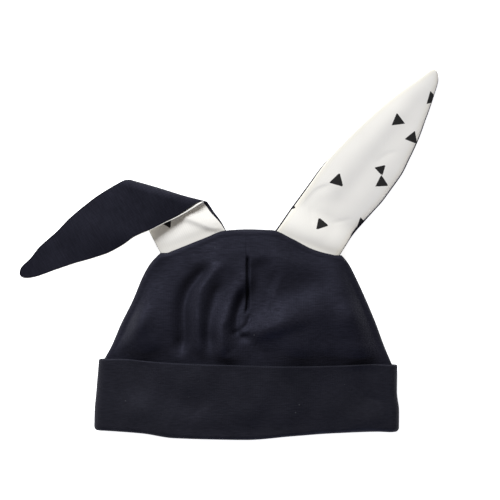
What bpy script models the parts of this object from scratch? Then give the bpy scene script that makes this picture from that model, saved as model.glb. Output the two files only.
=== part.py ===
"""Baby hat with two ears, lying on its back on a flat surface, as Blender objects.

Metres, +Z up. +Y runs from the rim of the hat towards its ears, and +X to the right as seen
from above. The origin is on the surface that the hat lies on, under the middle of the cuff.

Each cloth panel is a grid that is doubled, closed round its rim and laid on a formula. The two
crown panels and the cuff share one formula for how the upper cloth rises over the hollow, so
they keep their distance where one lies inside the other.
"""
from collections import namedtuple

import bmesh
import bpy
import numpy as np

# Driving sizes of the crown and the cuff, lying flat
CUFF_WIDTH = 0.190
CUFF_HEIGHT = 0.048
CUFF_TURN = 0.020
CUFF_WALL = 0.002
CUFF_EASE = 0.0014
CROWN_HEIGHT = 0.130
CROWN_WALL = 0.0018
HOLLOW_RISE = 0.013
SIDE_HOLLOW = 0.0006
CUFF_STEP = 0.018
FOLD_RISE = 0.0045

# Driving sizes of the ears
EAR_WIDTH = 0.043
UPRIGHT_LENGTH = 0.134
FOLDED_LENGTH = 0.1434
FOLD_REACH = 0.0262
EAR_WALL = 0.0012
EAR_STUB = 0.006
EAR_PUFF = 0.0016
EAR_DROP = 0.012
EDGE_SHOW = 0.0008
FOLD_RADIUS = 0.004

# Gap between cloth layers that touch
CLEAR = 0.0003

# How far in from the cuff's face the crown lies, and the radii of the flattened side folds
LAYER_INSET = CUFF_WALL + CUFF_EASE
CUFF_RADIUS = LAYER_INSET + CUFF_WALL + SIDE_HOLLOW
RIM_RADIUS = (LAYER_INSET + CUFF_WALL) / 2
EAR_PASS = EAR_WALL + CLEAR / 2 + CLEAR
SEAM_RADIUS = EAR_PASS + CROWN_WALL + SIDE_HOLLOW
EAR_REST = EAR_WALL + CLEAR / 2

# How far out from the seam the folded ear starts to roll over
FOLD_START = FOLD_REACH - FOLD_RADIUS - EAR_REST

# The cuff's two edges from left to right, as shares of the cuff's height
Edge = namedtuple("Edge", "across rim top")
CUFF_EDGES = (
    Edge(-1.00, 0.100, 1.030),
    Edge(-0.90, 0.090, 1.035),
    Edge(-0.72, 0.068, 1.010),
    Edge(-0.50, 0.015, 0.985),
    Edge(0.00, 0.000, 0.960),
    Edge(0.30, 0.040, 0.945),
    Edge(0.60, 0.075, 0.950),
    Edge(0.90, 0.088, 0.965),
    Edge(1.00, 0.080, 0.955),
)

# The cuff's sides from the rim up, as shares of its height and of its half width
Side = namedtuple("Side", "up left right")
CUFF_SIDES = (
    Side(0.00, 1.000, 1.002),
    Side(0.35, 0.996, 1.004),
    Side(0.60, 0.985, 0.990),
    Side(1.05, 0.966, 0.994),
)

# The crown's sides above the cuff, as shares of the crown's height and the cuff's half width
CROWN_SIDES = (
    Side(0.440, 0.886, 0.907),
    Side(0.544, 0.825, 0.855),
    Side(0.660, 0.746, 0.789),
    Side(0.775, 0.680, 0.717),
    Side(0.835, 0.633, 0.674),
    Side(0.870, 0.590, 0.635),
    Side(0.890, 0.560, 0.605),
)

# The top seam from corner to corner, as shares of the crown's height
Top = namedtuple("Top", "across up")
TOP_SEAM = (
    Top(-1.00, 0.888),
    Top(-0.72, 0.931),
    Top(-0.50, 0.964),
    Top(-0.28, 0.995),
    Top(0.00, 1.002),
    Top(0.30, 0.998),
    Top(0.52, 0.960),
    Top(0.77, 0.907),
    Top(1.00, 0.877),
)

# Ridges and dents of the upper cloth: ends and half width as shares of the cuff's half width
# and the crown's height, height as a share of FOLD_RISE
Fold = namedtuple("Fold", "name across up to_across to_up half_width rise")
FOLDS = (
    Fold("dart seam", 0.00, 0.99, 0.00, 0.66, 0.040, -0.45),
    Fold("dimple", 0.00, 0.66, -0.01, 0.55, 0.055, -1.15),
    Fold("ridge under the top seam, left", -0.46, 0.76, -0.10, 0.88, 0.110, 0.40),
    Fold("ridge under the top seam, right", 0.12, 0.89, 0.55, 0.78, 0.110, 0.35),
    Fold("dent right of the dart", 0.12, 0.86, 0.34, 0.77, 0.075, -0.50),
    Fold("ridge from the dimple to the right", 0.06, 0.56, 0.50, 0.67, 0.080, 0.70),
    Fold("dent under that ridge", 0.04, 0.485, 0.46, 0.52, 0.070, -0.40),
    Fold("ridge left of the dimple, upper", -0.08, 0.72, -0.21, 0.55, 0.060, 0.70),
    Fold("ridge left of the dimple, lower", -0.21, 0.55, -0.15, 0.42, 0.060, 0.55),
    Fold("dent between the ridges", -0.17, 0.80, -0.29, 0.53, 0.055, -0.50),
    Fold("far left ridge", -0.36, 0.71, -0.36, 0.42, 0.050, 0.50),
    Fold("far left dent", -0.47, 0.70, -0.48, 0.44, 0.065, -0.40),
)

# Half widths of the ears on their inner and outer sides, as shares of half the ear's width,
# at shares of the ear's length from the seam to the tip
Leaf = namedtuple("Leaf", "along inner outer")
UPRIGHT_LEAF = (
    Leaf(-0.10, 0.965, 0.960),
    Leaf(0.00, 0.985, 0.960),
    Leaf(0.15, 1.005, 0.900),
    Leaf(0.30, 1.018, 0.950),
    Leaf(0.42, 0.995, 1.000),
    Leaf(0.52, 0.880, 0.985),
    Leaf(0.65, 0.735, 0.835),
    Leaf(0.78, 0.575, 0.580),
    Leaf(0.88, 0.395, 0.400),
    Leaf(0.96, 0.240, 0.200),
    Leaf(1.00, 0.090, 0.060),
)
FOLDED_LEAF = (
    Leaf(-0.10, 0.990, 0.990),
    Leaf(0.00, 0.995, 0.995),
    Leaf(0.11, 0.905, 1.005),
    Leaf(0.20, 0.925, 0.900),
    Leaf(0.28, 0.925, 0.780),
    Leaf(0.36, 0.885, 0.700),
    Leaf(0.44, 0.835, 0.815),
    Leaf(0.54, 0.815, 0.765),
    Leaf(0.63, 0.790, 0.700),
    Leaf(0.72, 0.645, 0.630),
    Leaf(0.85, 0.445, 0.445),
    Leaf(0.95, 0.300, 0.200),
    Leaf(1.00, 0.120, 0.100),
)

# Where each ear is sewn in along the top seam, its lean to the right, its length and how far
# its front panel puffs up. A folded ear also has the turn of its fold line's normal.
Ear = namedtuple("Ear", "name outer_side seat lean length puff leaf fold_turn")
EARS = (
    Ear("upright_ear", 1, 0.660, 36.9, UPRIGHT_LENGTH, EAR_PUFF, UPRIGHT_LEAF, None),
    Ear("folded_ear", -1, -0.626, -27.3, FOLDED_LENGTH, EAR_PUFF / 4, FOLDED_LEAF, 15.9),
)

# Reach along the top seam, as a share across, that sets the direction in which an ear leaves
CHORD_REACH = 0.19

# How far past an ear's sides the crown's rims stay open, and the length over which they close
GAP_MARGIN = 4 * CLEAR
GAP_CLOSING = EAR_WIDTH / 5

# Shares of the folded ear's length along its fold line between which the flap sinks down, and
# how deep and over what share of its length the flap hangs past the ear's own base
SAG_FROM = 0.30
SAG_TO = 0.63
HANG_DEPTH = 0.7
HANG_SPAN = 0.2

# Shares of an ear's length over which its puff fades at both ends, and over which its printed
# front is cut back at the tip
PUFF_FADE = 0.3
TIP_SHARE = 0.1

# Cells of the grids: along the flat of a panel, round a quarter fold, and along an ear
CROWN_COLUMNS = 24
CROWN_ROWS = 18
BACK_COLUMNS = 14
BACK_ROWS = 12
CUFF_TOP_CELLS = 20
CUFF_UNDER_CELLS = 12
LIMB_CELLS = 5
QUARTER_CELLS = 3
EAR_COLUMNS = 8
EAR_ROWS = 24

# Passes that settle where a slanting row of an ear meets the ear's edge
ROW_PASSES = 6


def smooth_step(share):
    """Zero below zero, one above one, and an even S curve between."""
    share = np.clip(share, 0.0, 1.0)
    return share * share * (3.0 - 2.0 * share)


def read_table(stations, values, where):
    """A smooth curve through a table's rows that never overshoots them."""
    stations, values = np.asarray(stations, float), np.asarray(values, float)
    where = np.clip(where, stations[0], stations[-1])
    steps = np.diff(stations)
    slopes = np.diff(values) / steps
    same_way = slopes[:-1] * slopes[1:] > 0.0
    total = np.where(same_way, slopes[:-1] + slopes[1:], 1.0)
    inner = np.where(same_way, 2.0 * slopes[:-1] * slopes[1:] / total, 0.0)
    tangents = np.concatenate(([slopes[0]], inner, [slopes[-1]]))
    cell = np.clip(np.searchsorted(stations, where) - 1, 0, len(steps) - 1)
    step = steps[cell]
    t = (where - stations[cell]) / step
    start, end = values[cell], values[cell + 1]
    return (start + (end - start) * t * t * (3.0 - 2.0 * t)
            + step * t * (1.0 - t) * ((1.0 - t) * tangents[cell] - t * tangents[cell + 1]))


def column(table, name):
    """One named column of a table."""
    return [getattr(row, name) for row in table]


def cuff_edge(across, name):
    """Distance along Y of the cuff's rim or top edge at a share across."""
    return CUFF_HEIGHT * read_table(column(CUFF_EDGES, "across"), column(CUFF_EDGES, name), across)


def cuff_half(y, right):
    """Half width of the cuff on its left or right side."""
    up = column(CUFF_SIDES, "up")
    left_share = read_table(up, column(CUFF_SIDES, "left"), y / CUFF_HEIGHT)
    right_share = read_table(up, column(CUFF_SIDES, "right"), y / CUFF_HEIGHT)
    return CUFF_WIDTH / 2 * np.where(right, right_share, left_share)


def crown_half(y, right):
    """Half width of the crown: inside the cuff it follows the cuff, and above it the table."""
    halves = []
    for side, name in ((-1.0, "left"), (1.0, "right")):
        start = cuff_edge(side, "top")
        stations = [start] + [CROWN_HEIGHT * up for up in column(CROWN_SIDES, "up")]
        widths = [cuff_half(start, side > 0) - LAYER_INSET]
        widths += [CUFF_WIDTH / 2 * share for share in column(CROWN_SIDES, name)]
        inside = cuff_half(y, side > 0) - LAYER_INSET
        halves.append(np.where(y < start, inside, read_table(stations, widths, y)))
    return np.where(right, halves[1], halves[0])


def seam_height(across):
    """Distance along Y of the top seam at a share across."""
    return CROWN_HEIGHT * read_table(column(TOP_SEAM, "across"), column(TOP_SEAM, "up"), across)


def above_cuff(across, y):
    """How far up a point is from the cuff's top edge, as a share of the way to the seam."""
    top = cuff_edge(across, "top")
    return np.clip((y - top) / (seam_height(across) - SEAM_RADIUS - top), 0.0, 1.0)


def fold_height(x, y):
    """Sum of soft ridges and dents, each a bell curve round its own line."""
    total = np.zeros_like(x)
    for fold in FOLDS:
        start = np.array([fold.across * CUFF_WIDTH / 2, fold.up * CROWN_HEIGHT])
        end = np.array([fold.to_across * CUFF_WIDTH / 2, fold.to_up * CROWN_HEIGHT])
        along = end - start
        share = ((x - start[0]) * along[0] + (y - start[1]) * along[1]) / (along @ along)
        share = np.clip(share, 0.0, 1.0)
        away = np.hypot(x - start[0] - share * along[0], y - start[1] - share * along[1])
        total += fold.rise * FOLD_RISE * np.exp(-(away / (fold.half_width * CUFF_WIDTH / 2)) ** 2)
    return total


def cloth_rise(across, x, y):
    """How far the upper cloth of crown and cuff rises over the hollow."""
    up = above_cuff(across, y)
    pillow = HOLLOW_RISE * np.clip(1.0 - across ** 2, 0.0, 1.0) ** 1.5 * (1.0 - up ** 3)
    return pillow + fold_height(x, y) * (1.0 - across ** 4) * (1.0 - up ** 4)


def quarter(cells):
    """Angles of a quarter fold, from its flat side to its edge, in radians."""
    return np.linspace(np.pi / 2, 0.0, cells + 1)


def seam_point(across):
    """A point of the top seam on the flat plan."""
    y = seam_height(np.asarray(across, float))
    return np.array([across * (crown_half(y, across > 0)), y])


def ear_seat(ear):
    """Base point of an ear on the plan, with the unit vectors along and across its seam."""
    base = seam_point(ear.seat)
    chord = seam_point(ear.seat + CHORD_REACH) - seam_point(ear.seat - CHORD_REACH)
    chord /= np.hypot(*chord)
    return base, chord, np.array([-chord[1], chord[0]])


def seam_gap(x, y):
    """Half the gap between the crown's two rims, which opens where an ear is sewn in."""
    gap = np.full_like(x, CLEAR / 2)
    for ear in EARS:
        base, chord, _ = ear_seat(ear)
        beside = np.abs((x - base[0]) * chord[0] + (y - base[1]) * chord[1])
        past = (beside - EAR_WIDTH / 2 - GAP_MARGIN) / GAP_CLOSING
        gap += (EAR_PASS - CLEAR / 2) * (1.0 - smooth_step(past))
    return np.minimum(gap, EAR_PASS)


def crown_skin(is_front, columns, rows):
    """Formula of a crown panel: grid indices and depth into the wall to points."""
    bend = quarter(QUARTER_CELLS)
    flat = np.linspace(-1.0, 1.0, columns + 1)
    across = np.concatenate((np.full(QUARTER_CELLS, -1.0), flat, np.full(QUARTER_CELLS, 1.0)))
    side_turn = np.concatenate((bend[:0:-1], np.full(columns + 1, np.pi / 2), bend[1:]))
    up = np.concatenate((np.linspace(0.0, 1.0, rows + 1), np.full(QUARTER_CELLS, 1.0)))
    top_turn = np.concatenate((np.full(rows + 1, np.pi / 2), bend[1:]))

    def skin(i, j, inside):
        u, phi, v, psi = across[i], side_turn[i], up[j], top_turn[j]
        depth = CROWN_WALL * inside
        start = cuff_edge(u, "rim") + CUFF_TURN + CLEAR
        flat_end = seam_height(u) - SEAM_RADIUS
        y = start + v * (flat_end - start) + (SEAM_RADIUS - depth) * np.cos(psi)
        lowered = smooth_step((y - cuff_edge(u, "top") - CLEAR) / CUFF_STEP)
        floor = LAYER_INSET * (1.0 - lowered)
        radius = (CUFF_RADIUS - LAYER_INSET) * (1.0 - lowered) + SEAM_RADIUS * lowered
        centre = u * (crown_half(y, u > 0) - radius)
        x = centre + np.sign(u) * (radius - depth) * np.cos(phi)
        gap = seam_gap(x, y)
        half = gap + (radius - gap - depth) * np.sin(phi) * np.sin(psi)
        if is_front:
            return x, y, floor + radius + half + cloth_rise(u, x, y)
        return x, y, floor + radius - half

    return skin, len(across) - 1, len(up) - 1


def cuff_profile():
    """The cuff's folded section as depth from its face, share of its limb, and height.

    Each entry is (depth, limb share, rise above the rim): the limb share runs from the rim's
    bend to the cuff's top edge, and the rise is a length that is added whatever the limb.
    """
    inner_face = LAYER_INSET + CUFF_WALL
    turn_share = np.linspace(0.0, 1.0, LIMB_CELLS // 2 + 1)
    limb = np.linspace(0.0, 1.0, LIMB_CELLS + 1)
    inner_reach = CUFF_TURN - RIM_RADIUS
    bend = np.linspace(0.0, np.pi, 2 * QUARTER_CELLS + 1)[1:-1]
    cap = np.linspace(0.0, np.pi, QUARTER_CELLS + 1)[1:-1]
    half_wall = CUFF_WALL / 2
    profile = [(0.0, share, RIM_RADIUS) for share in limb[::-1]]
    profile += [(RIM_RADIUS * (1 - np.cos(a)), 0.0, RIM_RADIUS * (1 - np.sin(a))) for a in bend]
    profile += [(inner_face, 0.0, RIM_RADIUS + inner_reach * share) for share in turn_share]
    profile += [(LAYER_INSET, 0.0, RIM_RADIUS + inner_reach * share) for share in turn_share[::-1]]
    profile += [(RIM_RADIUS + CUFF_EASE / 2 * np.cos(a), 0.0, RIM_RADIUS - CUFF_EASE / 2 * np.sin(a))
                for a in bend[::2]]
    profile += [(CUFF_WALL, share, RIM_RADIUS) for share in limb]
    profile += [(half_wall * (1 + np.cos(a)), 1.0, RIM_RADIUS + half_wall * np.sin(a)) for a in cap]
    return np.array(profile)


def cuff_around():
    """Stations round the flattened cuff: share across, and cosine and sine of the side fold."""
    bend = np.linspace(-np.pi / 2, np.pi / 2, 2 * QUARTER_CELLS + 1)
    top = np.linspace(1.0, -1.0, CUFF_TOP_CELLS + 1)[1:-1]
    under = np.linspace(-1.0, 1.0, CUFF_UNDER_CELLS + 1)[1:-1]
    right = [(1.0, np.cos(a), np.sin(a)) for a in bend]
    left = [(-1.0, -np.cos(a), np.sin(a)) for a in bend[::-1]]
    return np.array(right + [(u, 0.0, 1.0) for u in top] + left + [(u, 0.0, -1.0) for u in under])


def ear_middle(ear, across, along):
    """The surface midway between an ear's two panels, from lengths across and along the ear."""
    base, chord, outward = ear_seat(ear)
    lean = np.radians(ear.lean)
    axis = np.array([np.sin(lean), np.cos(lean)])
    side = np.array([np.cos(lean), -np.sin(lean)])
    plan_x = axis[0] * along + side[0] * across
    plan_y = axis[1] * along + side[1] * across
    out = plan_x * outward[0] + plan_y * outward[1]
    dropped = smooth_step((out - EAR_DROP / 4) / EAR_DROP)
    z = SEAM_RADIUS + (EAR_REST - SEAM_RADIUS) * dropped
    if ear.fold_turn is None:
        return base[0] + plan_x, base[1] + plan_y, z
    turn = np.radians(ear.fold_turn)
    normal = np.array([np.sin(turn), np.cos(turn)])
    line = np.array([-np.cos(turn), np.sin(turn)])
    reach = plan_x * normal[0] + plan_y * normal[1]
    slide = plan_x * line[0] + plan_y * line[1]
    angle = np.clip((reach - FOLD_START) / FOLD_RADIUS, 0.0, np.pi)
    flap = np.maximum(reach - FOLD_START - np.pi * FOLD_RADIUS, 0.0)
    rolled = np.minimum(reach, FOLD_START) + FOLD_RADIUS * np.sin(angle) - flap
    sag = smooth_step((slide / ear.length - SAG_FROM) / (SAG_TO - SAG_FROM))
    hang = HANG_DEPTH * smooth_step((flap - FOLD_REACH) / (HANG_SPAN * ear.length))
    z = z + FOLD_RADIUS * (1.0 - np.cos(angle)) * (1.0 - sag) * (1.0 - hang)
    return (base[0] + rolled * normal[0] + slide * line[0],
            base[1] + rolled * normal[1] + slide * line[1], z)


def ear_rows(ear, seam_tilt):
    """Each row's place along the middle of an ear, and how far the row is sheared across it.

    Rows follow the seam at the base and the fold line round the fold, so that the fold is
    evenly cut, and they end square to the ear at its tip.
    """
    cells = EAR_ROWS // 3
    if ear.fold_turn is None:
        marks, tilts, counts = [0.0, ear.length], [seam_tilt, 0.0], [EAR_ROWS - 2]
    else:
        turned = np.radians(ear.fold_turn - ear.lean)
        start = FOLD_START / np.cos(turned)
        end = start + np.pi * FOLD_RADIUS / np.cos(turned)
        fold_tilt = -np.tan(turned)
        marks = [0.0, start, end, ear.length]
        tilts = [seam_tilt, fold_tilt, fold_tilt, 0.0]
        counts = [cells // 2, cells, EAR_ROWS - cells - cells // 2 - 2]
    places = [np.linspace(-EAR_STUB, 0.0, 3)]
    for first, last, count in zip(marks[:-1], marks[1:], counts):
        places.append(np.linspace(first, last, count + 1)[1:])
    places = np.concatenate(places)
    return places, np.interp(places, marks, tilts)


def ear_skin(ear, is_front):
    """Formula of an ear panel: grid indices and depth into its wall to points."""
    shares = np.sin(np.linspace(-1.0, 1.0, EAR_COLUMNS + 1) * np.pi / 2)
    stations = column(ear.leaf, "along")
    _, _, outward = ear_seat(ear)
    seam_tilt = np.tan(np.radians(ear.lean) - np.arctan2(outward[0], outward[1]))
    places, tilts = ear_rows(ear, seam_tilt)
    nudge = EAR_WALL / 10
    shown = EDGE_SHOW if is_front else 0.0

    def half_width(share, along):
        inner_half = read_table(stations, column(ear.leaf, "inner"), along / ear.length)
        outer_half = read_table(stations, column(ear.leaf, "outer"), along / ear.length)
        return EAR_WIDTH / 2 * np.where(share * ear.outer_side > 0, outer_half, inner_half)

    def skin(i, j, inside):
        share, place, tilt = shares[i], places[j], tilts[j]
        along = place
        for _ in range(ROW_PASSES):
            along = place + tilt * share * half_width(share, along)
        across = share * (half_width(share, along) - shown)
        along = along - shown * smooth_step((place / ear.length - 1.0) / TIP_SHARE + 1.0)
        here = np.stack(ear_middle(ear, across, along), axis=1)
        beside = np.stack(ear_middle(ear, across + nudge, along), axis=1) - here
        ahead = np.stack(ear_middle(ear, across, along + nudge), axis=1) - here
        normal = np.cross(beside, ahead)
        normal /= np.linalg.norm(normal, axis=1)[:, None]
        if is_front:
            up = along / ear.length
            ends = smooth_step(up / PUFF_FADE) * smooth_step((1.0 - up) / PUFF_FADE)
            offset = CLEAR / 2 + ear.puff * (1.0 - share ** 2) * ends + EAR_WALL * (1.0 - inside)
        else:
            offset = -CLEAR / 2 - EAR_WALL * (1.0 - inside)
        return tuple((here + normal * offset[:, None]).T)

    return skin, EAR_COLUMNS, EAR_ROWS


def make_material(name, colour, roughness):
    """Plain cloth of one colour."""
    material = bpy.data.materials.new(name)
    material.use_nodes = True
    shader = material.node_tree.nodes["Principled BSDF"]
    shader.inputs["Base Color"].default_value = (*colour, 1.0)
    shader.inputs["Roughness"].default_value = roughness
    shader.inputs["Metallic"].default_value = 0.0
    return material


def place(obj, collection, parent, material):
    """Put a finished object in the hat's collection, under its parent, with its cloth."""
    for other in list(obj.users_collection):
        other.objects.unlink(obj)
    collection.objects.link(obj)
    obj.parent = parent
    obj.data.materials.clear()
    obj.data.materials.append(material)
    obj.data.shade_smooth()
    obj.data.set_sharp_from_angle(angle=np.radians(50.0))


def face_outwards(bm):
    """Turn all faces of a closed form out, by the sign of the volume that they enclose."""
    bmesh.ops.recalc_face_normals(bm, faces=bm.faces[:])
    if bm.calc_volume(signed=True) < 0.0:
        bmesh.ops.reverse_faces(bm, faces=bm.faces[:])


def cloth_panel(name, skin, columns, rows):
    """A grid, doubled and closed round its rim, laid on a formula."""
    bm = bmesh.new()
    bmesh.ops.create_grid(bm, x_segments=columns, y_segments=rows, size=0.5)
    doubled = bmesh.ops.extrude_face_region(bm, geom=bm.faces[:], use_keep_orig=True)
    for item in doubled["geom"]:
        if isinstance(item, bmesh.types.BMVert):
            item.co.z = 1.0
    marks = np.array([vert.co for vert in bm.verts])
    i = np.rint((marks[:, 0] + 0.5) * columns).astype(int)
    j = np.rint((marks[:, 1] + 0.5) * rows).astype(int)
    points = np.stack(skin(i, j, marks[:, 2]), axis=1)
    for vert, point in zip(bm.verts, points):
        vert.co = point
    face_outwards(bm)
    mesh = bpy.data.meshes.new(name)
    bm.to_mesh(mesh)
    bm.free()
    return bpy.data.objects.new(name, mesh)


def cuff_band(name):
    """A torus laid on the cuff: round the head one way, round its folded section the other."""
    around, profile = cuff_around(), cuff_profile()
    bpy.ops.mesh.primitive_torus_add(major_segments=len(around), minor_segments=len(profile))
    obj = bpy.context.object
    obj.name = name
    obj.data.name = name
    u, cosine, sine = np.repeat(around, len(profile), axis=0).T
    depth, limb, rise = np.tile(profile, (len(around), 1)).T
    rim = cuff_edge(u, "rim")
    limb_length = cuff_edge(u, "top") - rim - RIM_RADIUS - CUFF_WALL / 2
    y = rim + rise + limb * limb_length
    x = u * (cuff_half(y, u > 0) - CUFF_RADIUS) + (CUFF_RADIUS - depth) * cosine
    z = CUFF_RADIUS + (CUFF_RADIUS - depth) * sine
    z = z + np.where(sine > 0, cloth_rise(u, x, y), 0.0)
    obj.data.vertices.foreach_set("co", np.stack((x, y, z), axis=1).ravel())
    bm = bmesh.new()
    bm.from_mesh(obj.data)
    face_outwards(bm)
    bm.to_mesh(obj.data)
    bm.free()
    return obj


def main():
    """Build the hat."""
    for obj in list(bpy.data.objects):
        bpy.data.objects.remove(obj, do_unlink=True)
    collection = bpy.data.collections.new("baby_hat_with_ears")
    bpy.context.scene.collection.children.link(collection)
    hat = bpy.data.objects.new("hat_frame", None)
    hat.location = (0.0, -CUFF_HEIGHT / 2, 0.0)
    collection.objects.link(hat)

    dark_jersey = make_material("dark_jersey", (0.022, 0.021, 0.033), 0.95)
    white_jersey = make_material("white_jersey", (0.76, 0.75, 0.70), 0.95)

    front = cloth_panel("crown_front", *crown_skin(True, CROWN_COLUMNS, CROWN_ROWS))
    back = cloth_panel("crown_back", *crown_skin(False, BACK_COLUMNS, BACK_ROWS))
    place(front, collection, hat, dark_jersey)
    place(back, collection, hat, dark_jersey)
    place(cuff_band("cuff"), collection, hat, dark_jersey)
    for ear in EARS:
        printed = cloth_panel(ear.name + "_front", *ear_skin(ear, True))
        plain = cloth_panel(ear.name + "_back", *ear_skin(ear, False))
        place(printed, collection, hat, white_jersey)
        place(plain, collection, hat, dark_jersey)


main()
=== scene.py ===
"""Baby hat with two long ears, lying flat: cloth panels, cuff, ears, floor, light and camera.

Metres, +Z up. +Y runs from the rim of the hat towards its ears. Every cloth panel is a formula
of two parameters, laid on a fine grid, so that folds, dart, puff and rolled edges are in it.
"""
from collections import namedtuple

import bpy
import numpy as np
from bpy.props import FloatProperty, FloatVectorProperty, PointerProperty
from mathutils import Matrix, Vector


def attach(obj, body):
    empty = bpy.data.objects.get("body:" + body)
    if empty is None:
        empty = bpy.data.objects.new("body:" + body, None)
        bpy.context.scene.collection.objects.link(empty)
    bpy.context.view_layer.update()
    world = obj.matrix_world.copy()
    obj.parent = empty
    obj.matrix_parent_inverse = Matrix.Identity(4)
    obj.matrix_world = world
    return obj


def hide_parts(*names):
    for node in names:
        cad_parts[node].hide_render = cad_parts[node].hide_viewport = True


bl_info = {
    "name": "Baby hat with ears",
    "version": (1, 0, 0),
    "blender": (4, 5, 0),
    "location": "3D View > Sidebar > Baby hat",
    "description": "Sews a baby's jersey hat with a turned-up cuff and two long ears",
    "category": "Add Mesh",
}

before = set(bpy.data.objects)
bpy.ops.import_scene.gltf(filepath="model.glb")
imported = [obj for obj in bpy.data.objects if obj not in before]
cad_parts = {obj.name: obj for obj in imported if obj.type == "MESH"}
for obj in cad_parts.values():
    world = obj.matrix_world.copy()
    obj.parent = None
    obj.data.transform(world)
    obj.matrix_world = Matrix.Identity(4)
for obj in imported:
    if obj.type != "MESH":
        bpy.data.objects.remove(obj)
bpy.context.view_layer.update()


def linear(hex_colour):
    """Linear red, green and blue of an sRGB hex colour."""
    channels = np.array([int(hex_colour[i:i + 2], 16) for i in (1, 3, 5)]) / 255.0
    curved = ((channels + 0.055) / 1.055) ** 2.4
    return tuple(float(c) for c in np.where(channels <= 0.04045, channels / 12.92, curved))


def length(name, description, default):
    """A length in metres that a user may change."""
    return FloatProperty(name=name, description=description, default=default, min=0.0,
                         precision=4, subtype="DISTANCE", unit="LENGTH")


def colour(name, description, hex_colour):
    """A colour that a user may change."""
    return FloatVectorProperty(name=name, description=description, default=linear(hex_colour),
                               min=0.0, max=1.0, size=3, subtype="COLOR")


def rows_of(kind, *rows):
    """A table of named rows of one kind."""
    return tuple(kind(*row) for row in rows)


class HatSizes(bpy.types.PropertyGroup):
    """Lengths of the hat, lying flat."""

    cuff_width: length("Cuff width", "Width of the cuff across the opening", 0.190)
    cuff_height: length("Cuff height", "Height of the turned-up cuff", 0.048)
    cuff_turn: length("Cuff turn", "How far the cuff's inner limb reaches up", 0.020)
    cuff_wall: length("Cuff wall", "Thickness of one limb of the cuff", 0.002)
    cuff_ease: length("Cuff ease", "Room between the cuff's two limbs for the crown", 0.0014)
    crown_height: length("Crown height", "From the rim to the top seam", 0.130)
    crown_wall: length("Crown wall", "Thickness of the crown's cloth", 0.0018)
    hollow_rise: length("Hollow rise", "How far the upper cloth bulges up", 0.013)
    side_hollow: length("Side hollow", "Half the room inside the side folds", 0.0006)
    cuff_step: length("Cuff step", "Over which the crown comes down beside the cuff", 0.018)
    ear_width: length("Ear width", "Width of an ear at its base", 0.043)
    ear_wall: length("Ear wall", "Thickness of one ear panel", 0.0012)
    ear_stub: length("Ear stub", "How far an ear reaches into the seam", 0.006)
    ear_drop: length("Ear drop", "Over which an ear comes down from the seam", 0.018)
    fold_reach: length("Fold reach", "From the seam to the folded ear's fold", 0.0262)
    fold_radius: length("Fold radius", "Radius of the folded ear's roll", 0.004)
    clear: length("Clearance", "Gap between cloth layers that touch", 0.0003)


class HatColours(bpy.types.PropertyGroup):
    """Colours of the hat's cloths."""

    crown: colour("Crown jersey", "Deep navy of the crown", "#191920")
    cuff: colour("Cuff jersey", "Near black of the cuff", "#1C1C21")
    ear_back: colour("Ear back jersey", "Near black of the ears' backs", "#1B1B22")
    ear_front: colour("Ear front jersey", "Warm white of the printed cloth", "#E2DFD7")
    print_ink: colour("Print", "Soft black of the printed triangles", "#201F1E")


# The cuff's two edges from left to right, as shares of the cuff's height
Edge = namedtuple("Edge", "across rim top")
CUFF_EDGES = rows_of(
    Edge,
    (-1.00, 0.100, 1.030), (-0.90, 0.090, 1.035), (-0.72, 0.068, 1.010),
    (-0.50, 0.015, 0.985), (0.00, 0.000, 0.960), (0.30, 0.040, 0.945),
    (0.60, 0.075, 0.950), (0.90, 0.088, 0.965), (1.00, 0.080, 0.955),
)

# The cuff's sides from the rim up, as shares of its height and of its half width
Side = namedtuple("Side", "up left right")
CUFF_SIDES = rows_of(
    Side,
    (0.00, 1.000, 1.002), (0.35, 0.996, 1.004), (0.60, 0.985, 0.990),
    (1.05, 0.966, 0.994),
)

# The crown's sides above the cuff, as shares of the crown's height and the cuff's half width
CROWN_SIDES = rows_of(
    Side,
    (0.440, 0.886, 0.907), (0.544, 0.825, 0.855), (0.660, 0.746, 0.789),
    (0.775, 0.680, 0.717), (0.835, 0.633, 0.674), (0.870, 0.590, 0.635),
    (0.890, 0.560, 0.605),
)

# The top seam from corner to corner, as shares of the crown's height
Top = namedtuple("Top", "across up")
TOP_SEAM = rows_of(
    Top,
    (-1.00, 0.888), (-0.72, 0.931), (-0.50, 0.964),
    (-0.28, 0.995), (0.00, 1.002), (0.30, 0.998),
    (0.52, 0.960), (0.77, 0.907), (1.00, 0.877),
)

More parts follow.
